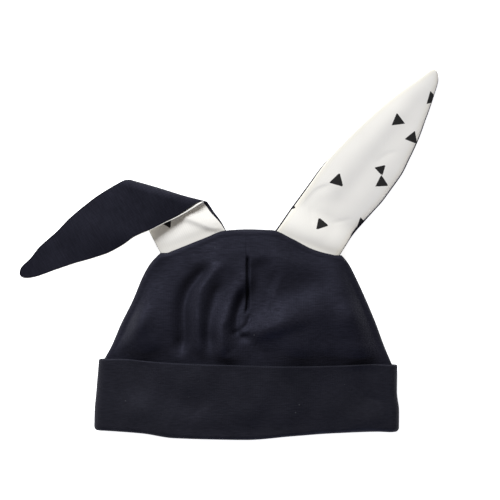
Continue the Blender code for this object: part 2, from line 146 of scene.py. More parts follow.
# Folds of the upper cloth. Each follows a path of (across, up) points, as shares of the cuff's
# half width and the crown's height. Its rise and its widths to the left and to the right of the
# path are millimetres, and its fade is the share of its length over which each end dies away.
# The numbers were fitted so that the cloth's shading comes near the photo's.
Fold = namedtuple("Fold", "name rise left right fade path")
FOLDS = (
    Fold("arch over the left and the top", 1.1, 5.0, 9.3, 0.15,
         ((-0.907, 0.496), (-0.751, 0.563), (-0.647, 0.652), (-0.536, 0.722), (-0.465, 0.841),
          (-0.316, 0.928), (-0.125, 0.877), (0.135, 0.871), (0.367, 0.824), (0.531, 0.708))),
    Fold("valley inside the arch", -5.2, 5.5, 3.0, 0.18,
         ((-0.441, 0.378), (-0.402, 0.499), (-0.406, 0.612), (-0.379, 0.701), (-0.298, 0.777),
          (-0.221, 0.842))),
    Fold("thin ridge left of the dart", 1.9, 3.0, 4.1, 0.20,
         ((-0.294, 0.326), (-0.318, 0.600), (-0.286, 0.741), (-0.187, 0.816), (-0.090, 0.842))),
    Fold("valley beside that ridge", -3.1, 4.2, 5.0, 0.25,
         ((-0.208, 0.390), (-0.239, 0.515), (-0.233, 0.593), (-0.201, 0.686), (-0.133, 0.779))),
    Fold("strong ridge left of the dart", 3.9, 5.4, 4.9, 0.18,
         ((-0.003, 0.349), (-0.151, 0.406), (-0.165, 0.524), (-0.116, 0.595), (-0.066, 0.685),
          (-0.004, 0.757), (0.005, 0.879))),
    Fold("ridge from the dart to the right", 5.1, 9.2, 14.0, 0.25,
         ((0.014, 0.580), (0.158, 0.532), (0.308, 0.595), (0.476, 0.661), (0.578, 0.701))),
    Fold("valley above that ridge", -1.9, 10.9, 10.6, 0.25,
         ((0.048, 0.866), (0.114, 0.756), (0.211, 0.721))),
    Fold("hollow below that ridge", -4.0, 6.6, 14.4, 0.30,
         ((-0.098, 0.415), (0.142, 0.461), (0.348, 0.505), (0.523, 0.552))),
    Fold("pocket beside the dart", -2.6, 2.6, 3.5, 0.25,
         ((-0.002, 0.755), (-0.037, 0.664), (-0.068, 0.577), (-0.065, 0.515), (-0.035, 0.487),
          (0.080, 0.486))),
    Fold("swell at the left side", 11.0, 10.3, 7.2, 0.25,
         ((-0.937, 0.466), (-0.728, 0.560), (-0.726, 0.664))),
    Fold("swell at the right side", 7.5, 11.9, 13.8, 0.25,
         ((0.688, 0.249), (0.793, 0.446), (0.707, 0.699))),
    Fold("dart seam", -0.5, 1.0, 1.0, 0.10, ((0.005, 1.02), (0.005, 0.93), (0.01, 0.84))),
    Fold("deep end of the dart", -3.4, 0.9, 0.8, 0.12,
         ((0.01, 0.88), (0.011, 0.72), (0.008, 0.63), (-0.008, 0.595))),
    Fold("hook under the dart", -1.1, 1.6, 1.6, 0.25,
         ((-0.008, 0.60), (0.022, 0.586), (0.01, 0.553), (-0.066, 0.51), (-0.126, 0.50))),
)

# Broad swells and dips of the upper cloth, fitted in the same way, their middles evenly apart:
# the share across of each column, and each row's share up and rises in millimetres
SWELLS_ACROSS = (-0.72, -0.36, 0.00, 0.36, 0.72)
SwellRow = namedtuple("SwellRow", "up rises")
SWELLS = (
    SwellRow(0.48, (9.1, 2.1, 1.7, 6.4, 4.1)),
    SwellRow(0.66, (6.6, 0.8, -5.3, -4.6, 10.4)),
    SwellRow(0.84, (-0.4, -1.5, -2.1, 1.1, 10.1)),
)
SWELL_REACH = 0.017

# Creases of the cuff's outer limb, on paths of shares of its half width and of its height
CUFF_CREASES = (
    Fold("swell at the right end", 2.6, 7.0, 6.0, 0.48, ((0.64, 0.22), (0.82, 0.24), (1.02, 0.20))),
    Fold("wrinkle above it", -0.9, 1.6, 2.2, 0.30, ((0.74, 0.56), (0.88, 0.50), (1.00, 0.48))),
    Fold("wrinkle below it", -0.9, 1.6, 2.2, 0.30, ((0.80, 0.22), (0.92, 0.18), (1.02, 0.20))),
    Fold("soft swell near the middle", 0.9, 9.0, 7.0, 0.35,
         ((-0.20, 0.34), (0.00, 0.36), (0.14, 0.33))),
    Fold("soft swell at the left", 0.9, 9.0, 7.0, 0.35,
         ((-0.90, 0.36), (-0.70, 0.40), (-0.52, 0.36))),
    Fold("soft hollow between them", -0.7, 8.0, 8.0, 0.35,
         ((-0.46, 0.55), (-0.36, 0.45), (-0.28, 0.30))),
    Fold("sag along the rim", -0.6, 5.0, 5.0, 0.25, ((-0.55, 0.14), (-0.10, 0.10), (0.40, 0.16))),
)

# Half widths of the ears on their inner and outer sides, as shares of half the ear's width,
# at shares of the ear's length from the seam to the tip
Leaf = namedtuple("Leaf", "along inner outer")
UPRIGHT_LEAF = rows_of(
    Leaf,
    (-0.10, 0.965, 0.965), (0.00, 0.982, 0.968), (0.10, 1.004, 0.928),
    (0.16, 1.006, 0.904), (0.24, 1.012, 0.938), (0.30, 1.021, 0.970),
    (0.38, 0.997, 1.010), (0.44, 0.955, 1.004), (0.51, 0.900, 0.994),
    (0.60, 0.812, 0.899), (0.70, 0.690, 0.764), (0.78, 0.575, 0.611),
    (0.86, 0.428, 0.455), (0.912, 0.316, 0.340), (0.95, 0.240, 0.254),
    (0.97, 0.205, 0.195), (0.984, 0.175, 0.130), (0.994, 0.135, 0.060),
    (1.00, 0.095, 0.002),
)
FOLDED_LEAF = rows_of(
    Leaf,
    (-0.10, 0.990, 0.990), (0.00, 0.995, 0.995), (0.11, 0.905, 1.005),
    (0.20, 0.901, 0.900), (0.28, 0.882, 0.780), (0.34, 0.850, 0.715),
    (0.40, 0.832, 0.790), (0.455, 0.784, 0.822), (0.49, 0.762, 0.822),
    (0.54, 0.784, 0.810), (0.60, 0.772, 0.767), (0.68, 0.675, 0.688),
    (0.77, 0.525, 0.540), (0.86, 0.394, 0.430), (0.93, 0.302, 0.262),
    (0.97, 0.215, 0.205), (0.99, 0.130, 0.130), (1.00, 0.040, 0.040),
)

# How far the dark back panel shows past the printed front at the ear's edges, in millimetres.
# Below zero it is the white front that shows, as piping along the folded ear's flap.
UPRIGHT_TRIM = rows_of(
    Leaf,
    (-0.10, 0.90, 0.25), (0.05, 0.95, 0.25), (0.13, 0.90, 0.40),
    (0.17, 0.85, 1.10), (0.21, 0.80, 1.40), (0.25, 0.75, 0.90),
    (0.32, 0.55, 0.65), (0.40, 0.10, 0.65), (0.60, 0.00, 0.65),
    (0.78, 0.00, 0.55), (0.90, 0.00, 0.35), (1.00, 0.00, 0.10),
)
FOLDED_TRIM = rows_of(
    Leaf,
    (-0.02, 0.50, 0.30), (0.03, 1.20, 0.20), (0.08, 1.90, 0.20),
    (0.12, 1.90, 0.20), (0.14, 0.60, 0.15), (0.16, -1.60, 0.00),
    (0.20, -1.70, -0.10), (0.26, -1.10, -0.15), (0.36, -0.55, -0.15),
    (0.60, -0.30, -0.15), (0.90, -0.25, -0.10), (1.00, -0.20, -0.10),
)

# Creases of an ear's printed front, as folds along paths of (across, along) in millimetres
UPRIGHT_CREASES = (
    Fold("crest along the ear", 0.4, 9.0, 6.5, 0.15,
         ((-1.0, 113.0), (-3.9, 96.5), (-6.4, 79.0), (-9.9, 60.0), (-9.4, 41.7), (-5.7, 26.4))),
    Fold("trough beside the crest", -0.42, 7.5, 6.0, 0.12,
         ((3.2, 124.0), (4.2, 106.0), (2.6, 90.0), (2.4, 70.0), (1.6, 48.0), (0.6, 36.0),
          (2.4, 24.0))),
    Fold("arc over the lower left", -0.32, 3.5, 1.0, 0.30,
         ((-8.1, 41.5), (-13.0, 35.4), (-16.0, 29.7), (-16.6, 22.2), (-14.5, 15.2))),
    Fold("puff over the base", 0.15, 4.5, 8.0, 0.20,
         ((-9.6, 27.0), (-4.5, 23.4), (-1.4, 17.2), (2.4, 12.2), (7.0, 5.4))),
    Fold("fullness of the lower right", 0.3, 7.0, 7.0, 0.45,
         ((7.0, 14.0), (13.0, 15.0), (22.0, 17.0))),
    Fold("short crease beside the puff", -0.15, 1.4, 1.4, 0.35,
         ((3.4, 18.0), (9.3, 25.2), (14.5, 31.0))),
    Fold("nick at the outer edge", -0.12, 1.2, 2.4, 0.30,
         ((3.6, 63.9), (5.5, 73.9), (13.0, 82.7))),
    Fold("second crease of the base", -0.20, 1.2, 1.2, 0.35,
         ((-13.0, 20.0), (-8.0, 15.0), (-3.0, 11.5))),
    Fold("dip along the seam", -0.40, 2.6, 3.0, 0.05,
         ((-23.0, -6.0), (0.0, 0.2), (23.0, 6.8))),
)
FOLDED_CREASES = (
    Fold("curl beside the fold", 1.3, 7.0, 2.2, 0.10,
         ((1.0, 16.5), (3.5, 13.6), (8.6, 8.2), (13.6, 3.0), (17.2, 0.6), (23.0, -1.6))),
    Fold("crease at the corner", -0.6, 0.9, 0.9, 0.30,
         ((14.5, 20.0), (16.6, 17.0), (18.2, 13.4))),
    Fold("dip along the seam", -0.10, 2.2, 2.6, 0.05,
         ((-23.0, 4.6), (0.0, 1.6), (13.0, 0.0))),
)

# Printed triangles: middle across and along the ear, radius, all in millimetres, and the turn
# of one corner from the ear's own axis, in degrees
Mark = namedtuple("Mark", "across along radius turn")
UPRIGHT_MARKS = rows_of(
    Mark,
    (7.9, 119.9, 4.9, -51.0), (-1.0, 95.9, 4.95, -44.0), (12.7, 92.7, 4.85, -16.0),
    (8.8, 65.1, 4.25, 10.0), (14.1, 59.0, 4.8, -40.0), (-8.7, 43.2, 5.35, -21.0),
    (-0.4, 15.0, 4.85, -55.5), (-23.2, 12.2, 4.5, 66.0), (19.7, 30.9, 4.4, -48.0),
)
FOLDED_MARKS = rows_of(
    Mark,
    (-8.9, 17.5, 4.7, 59.0), (6.0, 52.0, 4.6, 20.0), (-6.0, 78.0, 4.6, -40.0),
    (4.0, 104.0, 4.6, -10.0),
)

# Where each ear is sewn in along the top seam, its lean to the right, its length, its puff, how
# far its tip curls up, and its tables. A folded ear also has the turn of its fold line's normal.
Ear = namedtuple(
    "Ear", "name outer_side seat lean length puff curl leaf trim creases marks fold_turn")
EARS = (
    Ear("upright_ear", 1, 0.660, 36.9, 0.1352, 0.0007, 0.0022,
        UPRIGHT_LEAF, UPRIGHT_TRIM, UPRIGHT_CREASES, UPRIGHT_MARKS, None),
    Ear("folded_ear", -1, -0.626, -27.3, 0.1434, 0.0008, 0.0,
        FOLDED_LEAF, FOLDED_TRIM, FOLDED_CREASES, FOLDED_MARKS, 15.9),
)

# Reach along the top seam, as a share across, that sets the direction in which an ear leaves
CHORD_REACH = 0.19

# The crown's folds start this far below the cuff's top edge and grow over this length
FOLDS_BELOW = 0.006
FOLDS_GROW = 0.018
# No crease of the cuff is deeper, so that its outer limb stays clear of the crown
CREASE_DEPTH = 0.001
# The crown's columns lie closer in its middle, where its folds are: one is evenly apart
COLUMN_EVENNESS = 0.675
# How much closer the rows of an ear lie towards its tip
ROW_CLOSENESS = 0.2
# An ear's tip curls up from this share of its length
CURL_FROM = 0.76
# The share of an ear's length over which its puff grows from the seam and dies at the tip, and
# how much of that growth lies inside the seam
PUFF_SPAN = 0.2
PUFF_BEGUN = 0.8
# The share of an ear's length over which its trim also runs round the tip
TIP_SPAN = 0.1
# The white piping turns up beside the flap over this share of its width
PIPING_RAMP = 0.6
# Power of the printed front's thinning towards its edges
EDGE_THINNING = 0.25
# Past the band of painted shade along a front's edge, in millimetres, for the ear that doesn't show
# it
PAST_SHADE_BAND = 5.0

# Shares of the folded ear's length along its fold line between which the flap sinks down, and
# how deep and over what share of its length the flap hangs past the ear's own base
SAG_FROM = 0.30
SAG_TO = 0.63
HANG_DEPTH = 0.7
HANG_SPAN = 0.2

# The roll is pressed flat at its right end, and its outline dips where the seam holds it
PRESSED_HEIGHT = 0.42
PRESSED_FROM = -0.02
PRESSED_TO = 0.22
DIP_DEPTH = 0.0009
DIP_MIDDLE = 0.014
DIP_REACH = 0.010

MM = 0.001


def smooth_step(share):
    """Zero below zero, one above one, and an even S curve between."""
    share = np.clip(share, 0.0, 1.0)
    return share * share * (3.0 - 2.0 * share)


def read_table(stations, values, where):
    """A smooth curve through a table's rows that never overshoots them."""
    stations, values = np.asarray(stations, float), np.asarray(values, float)
    where = np.clip(where, stations[0], stations[-1])
    steps = np.diff(stations)
    slopes = np.diff(values) / steps
    same_way = slopes[:-1] * slopes[1:] > 0.0
    total = np.where(same_way, slopes[:-1] + slopes[1:], 1.0)
    inner = np.where(same_way, 2.0 * slopes[:-1] * slopes[1:] / total, 0.0)
    tangents = np.concatenate(([slopes[0]], inner, [slopes[-1]]))
    cell = np.clip(np.searchsorted(stations, where) - 1, 0, len(steps) - 1)
    step = steps[cell]
    t = (where - stations[cell]) / step
    start, end = values[cell], values[cell + 1]
    return (start + (end - start) * t * t * (3.0 - 2.0 * t)
            + step * t * (1.0 - t) * ((1.0 - t) * tangents[cell] - t * tangents[cell + 1]))


def column(table, name):
    """One named column of a table."""
    return [getattr(row, name) for row in table]


def look_up(table, name, where):
    """One named column of a table, read along its first column."""
    return read_table([row[0] for row in table], column(table, name), where)


def smooth_path(points, count):
    """A smooth line through a few points, as many points evenly far apart."""
    points = np.asarray(points, float)
    run = np.concatenate(([0.0], np.cumsum(np.hypot(*np.diff(points, axis=0).T))))
    where = np.linspace(0.0, run[-1], count)
    return np.stack((read_table(run, points[:, 0], where), read_table(run, points[:, 1], where)), 1)


def fold_height(x, y, folds, scale_x, scale_y):
    """Sum of soft ridges and dents.

    Each is a bell curve of the distance to its own path, with one width to the left of the
    path and another to the right, and it fades at both ends of the path.
    """
    total = np.zeros_like(x)
    for fold in folds:
        path = smooth_path(fold.path, 36) * (scale_x, scale_y)
        start, step = path[:-1], np.diff(path, axis=0)
        dx, dy = x[:, None] - start[:, 0], y[:, None] - start[:, 1]
        share = (dx * step[:, 0] + dy * step[:, 1]) / (step ** 2).sum(axis=1)
        share = np.clip(share, 0.0, 1.0)
        away = np.hypot(dx - share * step[:, 0], dy - share * step[:, 1])
        near = away.argmin(axis=1)
        row = np.arange(len(x))
        side = step[near, 0] * dy[row, near] - step[near, 1] * dx[row, near]
        width = MM * np.where(side > 0.0, fold.left, fold.right)
        along = (near + share[row, near]) / len(start)
        ends = smooth_step(along / fold.fade) * smooth_step((1.0 - along) / fold.fade)
        total += fold.rise * MM * ends * np.exp(-(away[row, near] / width) ** 2)
    return total


def swell_height(x, y, scale_x, scale_y):
    """Sum of round swells and dips, each a bell curve of the distance to its own middle."""
    total = np.zeros_like(x)
    for row in SWELLS:
        for across, rise in zip(SWELLS_ACROSS, row.rises):
            away = np.hypot(x - across * scale_x, y - row.up * scale_y)
            total += rise * MM * np.exp(-(away / SWELL_REACH) ** 2)
    return total


def ripple(x, y, waves):
    """Sum of slow waves, each with its length in metres, direction, phase and height."""
    total = np.zeros_like(x)
    for wave_length, direction, phase, height in waves:
        angle = np.radians(direction)
        run = x * np.cos(angle) + y * np.sin(angle)
        total += height * np.sin(2.0 * np.pi * run / wave_length + phase)
    return total


# Slow unevenness of the cloth: wave length, direction in degrees, phase and height in metres
CROWN_WAVES = (
    (0.047, 20.0, 0.4, 0.00035),
    (0.031, 75.0, 1.9, 0.00025),
    (0.019, -35.0, 4.1, 0.00012),
    (0.013, 50.0, 2.2, 0.00006),
)


class Form:
    """The flat plan of the hat and the heights of its upper cloth, from the sizes."""

    def __init__(self, size):
        self.size = size
        self.half = size.cuff_width / 2
        self.inset = size.cuff_wall + size.cuff_ease
        self.cuff_radius = self.inset + size.cuff_wall + size.side_hollow
        self.rim_radius = (self.inset + size.cuff_wall) / 2
        self.ear_pass = size.ear_wall + 1.5 * size.clear
        self.seam_radius = self.ear_pass + size.crown_wall + size.side_hollow
        self.ear_rest = size.ear_wall + size.clear / 2
        self.fold_start = size.fold_reach - size.fold_radius - self.ear_rest

    def cuff_edge(self, across, name):
        """Distance along Y of the cuff's rim or top edge at a share across."""
        return self.size.cuff_height * look_up(CUFF_EDGES, name, across)

    def cuff_half(self, y, right):
        """Half width of the cuff on its left or right side."""
        left, other = (look_up(CUFF_SIDES, name, y / self.size.cuff_height)
                       for name in ("left", "right"))
        return self.half * np.where(right, other, left)

    def crown_half(self, y, right):
        """Half width of the crown: inside the cuff it follows the cuff, above it the table."""
        halves = []
        for side, name in ((-1.0, "left"), (1.0, "right")):
            start = self.cuff_edge(side, "top")
            up = [self.size.crown_height * share for share in column(CROWN_SIDES, "up")]
            widths = [self.cuff_half(start, side > 0) - self.inset]
            widths += [self.half * share for share in column(CROWN_SIDES, name)]
            inside = self.cuff_half(y, side > 0) - self.inset
            halves.append(np.where(y < start, inside, read_table([start] + up, widths, y)))
        return np.where(right, halves[1], halves[0])

    def seam_height(self, across):
        """Distance along Y of the top seam at a share across."""
        return self.size.crown_height * look_up(TOP_SEAM, "up", across)

    def cloth_rise(self, across, x, y, bridging=False):
        """How far the upper cloth of crown or cuff rises: a pillow with folds on it.

        The pillow is a power of one less the square of the share across, and it sinks with the
        cube of the share up. The folds fade with high powers of both shares, and die away
        under the cuff. The cuff is stiffer, so it bridges the crown's valleys and follows only
        its ridges: the folds are halved with their own rounded size added.
        """
        top = self.cuff_edge(across, "top")
        up = np.clip((y - top) / (self.seam_height(across) - self.seam_radius - top), 0.0, 1.0)
        pillow = self.size.hollow_rise * np.clip(1.0 - across ** 2, 0.0, 1.0) ** 1.5
        folds = fold_height(x, y, FOLDS, self.half, self.size.crown_height)
        folds = folds + swell_height(x, y, self.half, self.size.crown_height)
        folds = folds * smooth_step((y - top + FOLDS_BELOW) / FOLDS_GROW)
        if bridging:
            folds = (folds + np.sqrt(folds ** 2 + MM ** 2)) / 2
            creases = fold_height(x, y, CUFF_CREASES, self.half, self.size.cuff_height)
            folds = folds + np.maximum(creases, -CREASE_DEPTH)
        folds = folds + ripple(x, y, CROWN_WAVES)
        return pillow * (1.0 - up ** 3) + folds * (1.0 - across ** 6) * (1.0 - up ** 8)

    def seam_point(self, across):
        """A point of the top seam on the flat plan."""
        y = self.seam_height(np.asarray(across, float))
        return np.array([across * self.crown_half(y, across > 0), y])

    def ear_seat(self, ear):
        """Base point of an ear on the plan, with unit vectors along and across its seam."""
        base = self.seam_point(ear.seat)
        chord = self.seam_point(ear.seat + CHORD_REACH) - self.seam_point(ear.seat - CHORD_REACH)
        chord /= np.hypot(*chord)
        return base, chord, np.array([-chord[1], chord[0]])

    def seam_gap(self, x, y):
        """Half the gap between the crown's two rims, which opens where an ear is sewn in."""
        size = self.size
        gap = np.full_like(x, size.clear / 2)
        for ear in EARS:
            base, chord, _ = self.ear_seat(ear)
            beside = np.abs((x - base[0]) * chord[0] + (y - base[1]) * chord[1])
            past = (beside - size.ear_width / 2 - 4 * size.clear) / (size.ear_width / 5)
            gap += (self.ear_pass - size.clear / 2) * (1.0 - smooth_step(past))
        return np.minimum(gap, self.ear_pass)


def crown_panel(form, is_front, columns, rows, bend_cells):
    """Outer and inner points of a crown panel, as two grids.

    Across the panel, the flat middle ends in a quarter fold at each side. Up the panel, the
    flat part ends in a quarter fold at the top seam. The inner grid has a smaller fold radius.
    """
    size = form.size
    bend = np.linspace(np.pi / 2, 0.0, bend_cells + 1)
    even = np.linspace(-1.0, 1.0, columns + 1)
    flat = COLUMN_EVENNESS * even + (1.0 - COLUMN_EVENNESS) * even ** 3
    across = np.concatenate((np.full(bend_cells, -1.0), flat, np.full(bend_cells, 1.0)))
    side_turn = np.concatenate((bend[:0:-1], np.full(columns + 1, np.pi / 2), bend[1:]))
    up = np.concatenate((np.linspace(0.0, 1.0, rows + 1), np.full(bend_cells, 1.0)))
    top_turn = np.concatenate((np.full(rows + 1, np.pi / 2), bend[1:]))
    v, u = (grid.ravel() for grid in np.meshgrid(up, across, indexing="ij"))
    psi, phi = (grid.ravel() for grid in np.meshgrid(top_turn, side_turn, indexing="ij"))
    skins = []
    for depth in (0.0, size.crown_wall):
        start = form.cuff_edge(u, "rim") + size.cuff_turn + size.clear
        flat_end = form.seam_height(u) - form.seam_radius
        y = start + v * (flat_end - start) + (form.seam_radius - depth) * np.cos(psi)
        lowered = smooth_step((y - form.cuff_edge(u, "top") - size.clear) / size.cuff_step)
        floor = form.inset * (1.0 - lowered)
        radius = (form.cuff_radius - form.inset) * (1.0 - lowered) + form.seam_radius * lowered
        x = u * (form.crown_half(y, u > 0) - radius) + np.sign(u) * (radius - depth) * np.cos(phi)
        gap = form.seam_gap(x, y)
        half = gap + (radius - gap - depth) * np.sin(phi) * np.sin(psi)
        if is_front:
            z = floor + radius + half + form.cloth_rise(u, x, y)
        else:
            z = floor + radius - half
        skins.append(np.stack((x, y, z), axis=1))
    return skins[0], skins[1], len(across), len(up)


def cuff_ring(form, top_cells, under_cells, limb_cells, bend_cells):
    """Points of the cuff, as a ring of folded sections.

    The section runs down the outer limb, round the rim, up and down the inner limb and back
    up the outer limb's inside. It is carried round the flattened opening.
    """
    size = form.size
    inner_face = form.inset + size.cuff_wall
    turn_share = np.linspace(0.0, 1.0, limb_cells // 2 + 1)
    limb = np.linspace(0.0, 1.0, limb_cells + 1)
    reach = size.cuff_turn - form.rim_radius
    bend = np.linspace(0.0, np.pi, 2 * bend_cells + 1)[1:-1]
    half_wall, rim_radius = size.cuff_wall / 2, form.rim_radius
    section = [(0.0, share, rim_radius) for share in limb[::-1]]
    section += [(rim_radius * (1 - np.cos(a)), 0.0, rim_radius * (1 - np.sin(a))) for a in bend]
    section += [(inner_face, 0.0, rim_radius + reach * share) for share in turn_share]
    section += [(form.inset, 0.0, rim_radius + reach * share) for share in turn_share[::-1]]
    section += [(rim_radius + size.cuff_ease / 2 * np.cos(a), 0.0,
                 rim_radius - size.cuff_ease / 2 * np.sin(a)) for a in bend[::2]]
    section += [(size.cuff_wall, share, rim_radius) for share in limb]
    section += [(half_wall * (1 + np.cos(a)), 1.0, rim_radius + half_wall * np.sin(a))
                for a in bend]
    section = np.array(section)
    side = np.linspace(-np.pi / 2, np.pi / 2, 2 * bend_cells + 1)
    top = np.linspace(1.0, -1.0, top_cells + 1)[1:-1]
    under = np.linspace(-1.0, 1.0, under_cells + 1)[1:-1]
    around = [(1.0, np.cos(a), np.sin(a)) for a in side]
    around += [(u, 0.0, 1.0) for u in top]
    around += [(-1.0, -np.cos(a), np.sin(a)) for a in side[::-1]]
    around = np.array(around + [(u, 0.0, -1.0) for u in under])
    u, cosine, sine = np.repeat(around, len(section), axis=0).T
    depth, limb_share, rise = np.tile(section, (len(around), 1)).T
    rim = form.cuff_edge(u, "rim")
    limb_length = form.cuff_edge(u, "top") - rim - rim_radius - half_wall
    y = rim + rise + limb_share * limb_length
    x = u * (form.cuff_half(y, u > 0) - form.cuff_radius) + (form.cuff_radius - depth) * cosine
    z = form.cuff_radius + (form.cuff_radius - depth) * sine
    z = z + np.where(sine > 0, form.cloth_rise(u, x, y, True), 0.0)
    return np.stack((x, y, z), axis=1), len(section), len(around)


def ear_middle(form, ear, across, along):
    """The surface midway between an ear's two panels.

    The ear leans along its axis and comes down from the seam to the floor in an S curve. Its
    tip curls up with the square of the share along. Where it is folded it rolls over a
    cylinder, pressed flat at one end, and hangs down again beyond it.
    """
    size = form.size
    base, _, outward = form.ear_seat(ear)
    lean = np.radians(ear.lean)
    plan_x = np.sin(lean) * along + np.cos(lean) * across
    plan_y = np.cos(lean) * along - np.sin(lean) * across
    out = plan_x * outward[0] + plan_y * outward[1]
    dropped = smooth_step((out - size.ear_drop / 4) / size.ear_drop)
    z = form.seam_radius + (form.ear_rest - form.seam_radius) * dropped
    curled = np.clip((along / ear.length - CURL_FROM) / (1.0 - CURL_FROM), 0.0, 1.0)
    z = z + ear.curl * curled ** 2
    if ear.fold_turn is None:
        return base[0] + plan_x, base[1] + plan_y, z
    turn = np.radians(ear.fold_turn)
    reach = plan_x * np.sin(turn) + plan_y * np.cos(turn)
    slide = plan_y * np.sin(turn) - plan_x * np.cos(turn)
    angle = np.clip((reach - form.fold_start) / size.fold_radius, 0.0, np.pi)
    flap = np.maximum(reach - form.fold_start - np.pi * size.fold_radius, 0.0)
    rolled = np.minimum(reach, form.fold_start) + size.fold_radius * np.sin(angle) - flap
    sag = smooth_step((slide / ear.length - SAG_FROM) / (SAG_TO - SAG_FROM))
    hang = HANG_DEPTH * smooth_step((flap - size.fold_reach) / (HANG_SPAN * ear.length))
    pressed = smooth_step((slide / ear.length - PRESSED_FROM) / (PRESSED_TO - PRESSED_FROM))
    pressed = PRESSED_HEIGHT + (1.0 - PRESSED_HEIGHT) * pressed
    z = z + size.fold_radius * (1.0 - np.cos(angle)) * (1.0 - sag) * (1.0 - hang) * pressed
    dip = DIP_DEPTH * np.exp(-((slide - DIP_MIDDLE) / DIP_REACH) ** 2)
    rolled = rolled - dip * np.sin(angle / 2) ** 2 * np.exp(-flap / (4 * size.fold_radius))
    return (base[0] + rolled * np.sin(turn) - slide * np.cos(turn),
            base[1] + rolled * np.cos(turn) + slide * np.sin(turn), z)


def ear_rows(form, ear, seam_tilt, rows):
    """Each row's place along the middle of an ear, and how far the row is sheared across it.

    The rows lie evenly apart, and closer towards the tip.
    """
    if ear.fold_turn is None:
        marks, tilts = [0.0, ear.length], [seam_tilt, 0.0]
        counts = [rows - 4]
    else:
        turned = np.radians(ear.fold_turn - ear.lean)
        start = form.fold_start / np.cos(turned)
        end = start + np.pi * form.size.fold_radius / np.cos(turned)
        marks = [0.0, start, end, ear.length]
        tilts = [seam_tilt, -np.tan(turned), -np.tan(turned), 0.0]
        counts = [rows // 4, rows // 4, rows - 2 * (rows // 4) - 4]
    places = [np.linspace(-form.size.ear_stub, 0.0, 5)]
    for first, last, count in zip(marks[:-1], marks[1:], counts):
        share = np.linspace(0.0, 1.0, count + 1)[1:]
        closer = ROW_CLOSENESS * np.sin(np.pi * share) if last == ear.length else 0.0
        places.append(first + (last - first) * (share + closer))
    places = np.concatenate(places)
    return places, np.interp(places, marks, tilts)


def ear_panel(form, ear, is_front, columns, rows):
    """Outer and inner points of an ear panel, its flat lengths and its distances from the rim.

    The panel is offset from the ear's middle surface along that surface's normal. The front
    also puffs up between its edges, by one less the square of the share across, and carries
    the ear's creases. Where it is wider than the back, that edge turns up beside the back.
    """
    size = form.size
    shares = np.sin(np.linspace(-1.0, 1.0, columns + 1) * np.pi / 2)
    _, _, outward = form.ear_seat(ear)
    seam_tilt = np.tan(np.radians(ear.lean) - np.arctan2(outward[0], outward[1]))
    places, tilts = ear_rows(form, ear, seam_tilt, rows)
    place, share = (grid.ravel() for grid in np.meshgrid(places, shares, indexing="ij"))
    tilt = np.repeat(tilts, len(shares))
    outer_side = share * ear.outer_side > 0

    def at_side(table, along, scale):
        inner, outer = (look_up(table, name, along / ear.length) for name in ("inner", "outer"))
        return scale * np.where(outer_side, outer, inner)

    along = place
    for _ in range(6):
        along = place + tilt * share * at_side(ear.leaf, along, size.ear_width / 2)
    half = at_side(ear.leaf, along, size.ear_width / 2)
    shown = at_side(ear.trim, along, MM)
    shown = np.maximum(shown, 0.0) if is_front else np.maximum(-shown, 0.0)
    across = share * (half - shown)
    tip = smooth_step((place / ear.length - 1.0) / TIP_SPAN + 1.0)
    along = along - shown * tip
    nudge = size.ear_wall / 10
    here = np.stack(ear_middle(form, ear, across, along), axis=1)
    beside = np.stack(ear_middle(form, ear, across + nudge, along), axis=1) - here
    ahead = np.stack(ear_middle(form, ear, across, along + nudge), axis=1) - here
    normal = np.cross(beside, ahead)
    normal /= np.linalg.norm(normal, axis=1)[:, None]
    if is_front:
        up = along / ear.length
        ends = smooth_step(up / PUFF_SPAN + PUFF_BEGUN) * smooth_step((1.0 - up) / PUFF_SPAN)
        rounded = np.clip(1.0 - share ** 2, 0.0, 1.0)
        creases = fold_height(across, along, ear.creases, MM, MM) * (1.0 - share ** 4)
        base = size.clear / 2 + np.maximum(ear.puff * ends * rounded + creases, 0.0)
        piping = np.maximum(-at_side(ear.trim, along, MM), size.clear / 10)
        turned_up = smooth_step((np.abs(across) - half + piping) / (PIPING_RAMP * piping))
        base = base - (size.ear_wall + size.clear) * turned_up * (piping > size.clear / 2)
        thickness = size.ear_wall * rounded ** EDGE_THINNING
    else:
        base = np.full_like(share, -size.clear / 2)
        thickness = -size.ear_wall
    outer = here + normal * (base + thickness)[:, None]
    inner = here + normal * base[:, None]
    # The distance from the rim places the band of painted shade along the front's edge
    rim = (1.0 - np.abs(share)) * half / MM
    if ear.fold_turn is not None:
        rim = rim + PAST_SHADE_BAND
    return outer, inner, len(shares), len(places), across, along, rim


def print_distance(ear, across, along):
    """Distance in millimetres into the nearest printed triangle, below zero outside.

    A triangle is where three straight lines, each half its radius from its middle, all agree.
    """
    depth = np.full_like(across, -10.0)
    for mark in ear.marks:
        dx, dy = across / MM - mark.across, along / MM - mark.along
        edges = []
        for corner in (0.0, 120.0, 240.0):
            angle = np.radians(mark.turn + corner + 180.0)
            edges.append(mark.radius / 2 - dx * np.sin(angle) - dy * np.cos(angle))
        depth = np.maximum(depth, np.minimum.reduce(edges))
    return depth


def grid_quads(columns, rows, start=0):
    """Corners of the cells of a grid of columns by rows of points."""
    first = (np.arange(rows - 1)[:, None] * columns + np.arange(columns - 1)).ravel() + start
    return np.stack((first, first + 1, first + columns + 1, first + columns), axis=1)


def slab_faces(columns, rows, upward):
    """Faces of two grids of the same size, joined round their rims into a closed slab."""
    count = columns * rows
    outer = grid_quads(columns, rows)
    inner = grid_quads(columns, rows, count)[:, ::-1]
    bottom = np.arange(columns)
    right = np.arange(rows) * columns + columns - 1
    top = (rows - 1) * columns + np.arange(columns)[::-1]
    left = np.arange(rows)[::-1] * columns
    loop = np.concatenate((bottom[:-1], right[:-1], top[:-1], left[:-1]))
    following = np.roll(loop, -1)
    rim = np.stack((loop, loop + count, following + count, following), axis=1)
    faces = np.concatenate((outer, inner, rim))
    return faces if upward else faces[:, ::-1]


